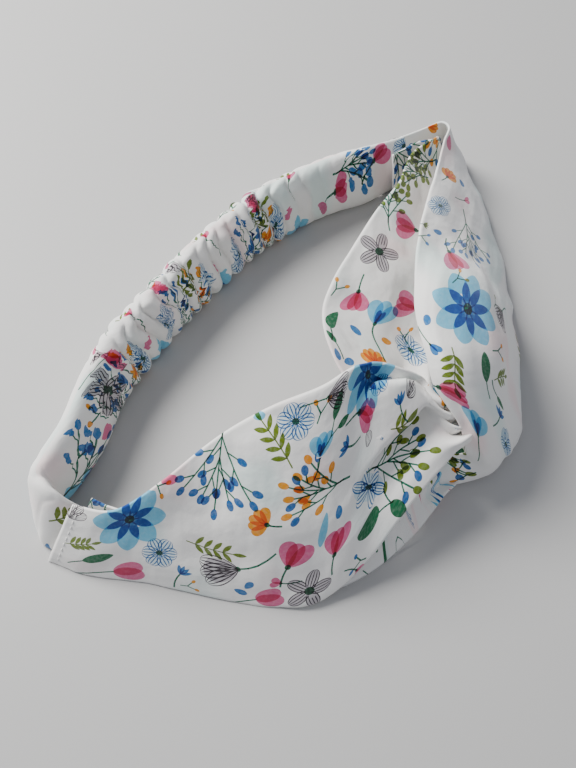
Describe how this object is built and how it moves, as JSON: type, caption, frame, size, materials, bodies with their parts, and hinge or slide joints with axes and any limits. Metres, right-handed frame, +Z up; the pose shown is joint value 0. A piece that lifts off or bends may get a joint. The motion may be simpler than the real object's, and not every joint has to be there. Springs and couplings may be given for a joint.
{
  "type": "knotted headband",
  "caption": "Soft knotted headband of floral printed cotton: wide strips hooked through each other in front and a gathered elastic casing behind.",
  "frame": {"origin": "middle of the loop's underside, on the table it lies on", "axes": "+X to the right seen from the knot's side, +Y from the knot's side towards the gathered casing, +Z up"},
  "size_m": [0.1612, 0.1818, 0.0474],
  "materials": {
    "printed_cotton": "matte plain-weave cotton, off-white with a small scattered print of blue, pink and orange flowers, green sprigs and berries",
    "white_elastic": "flat woven white elastic, ribbed along its length",
    "white_thread": "white polyester sewing thread"
  },
  "bodies": {
    "right_half": {"right_strip": "printed_cotton", "right_strip_seam": "white_thread", "elastic_casing": "printed_cotton", "casing_seam": "white_thread", "elastic": "white_elastic", "right_join_stitching": "white_thread", "right_elastic_tack": "white_thread"},
    "left_half": {"left_strip": "printed_cotton", "left_strip_seam": "white_thread", "left_join_stitching": "white_thread", "left_elastic_tack": "white_thread"}
  },
  "joints": [
    {"name": "knot_opening", "type": "hinge", "parent": "right_half", "child": "left_half", "pos_m": [0.04621, -0.04163, 0.013], "axis": [0, 0, 1], "range_deg": [-10, 25], "stiffness_Nm_per_rad": 0.8, "deforming": ["elastic_casing", "elastic", "casing_seam"]}
  ]
}
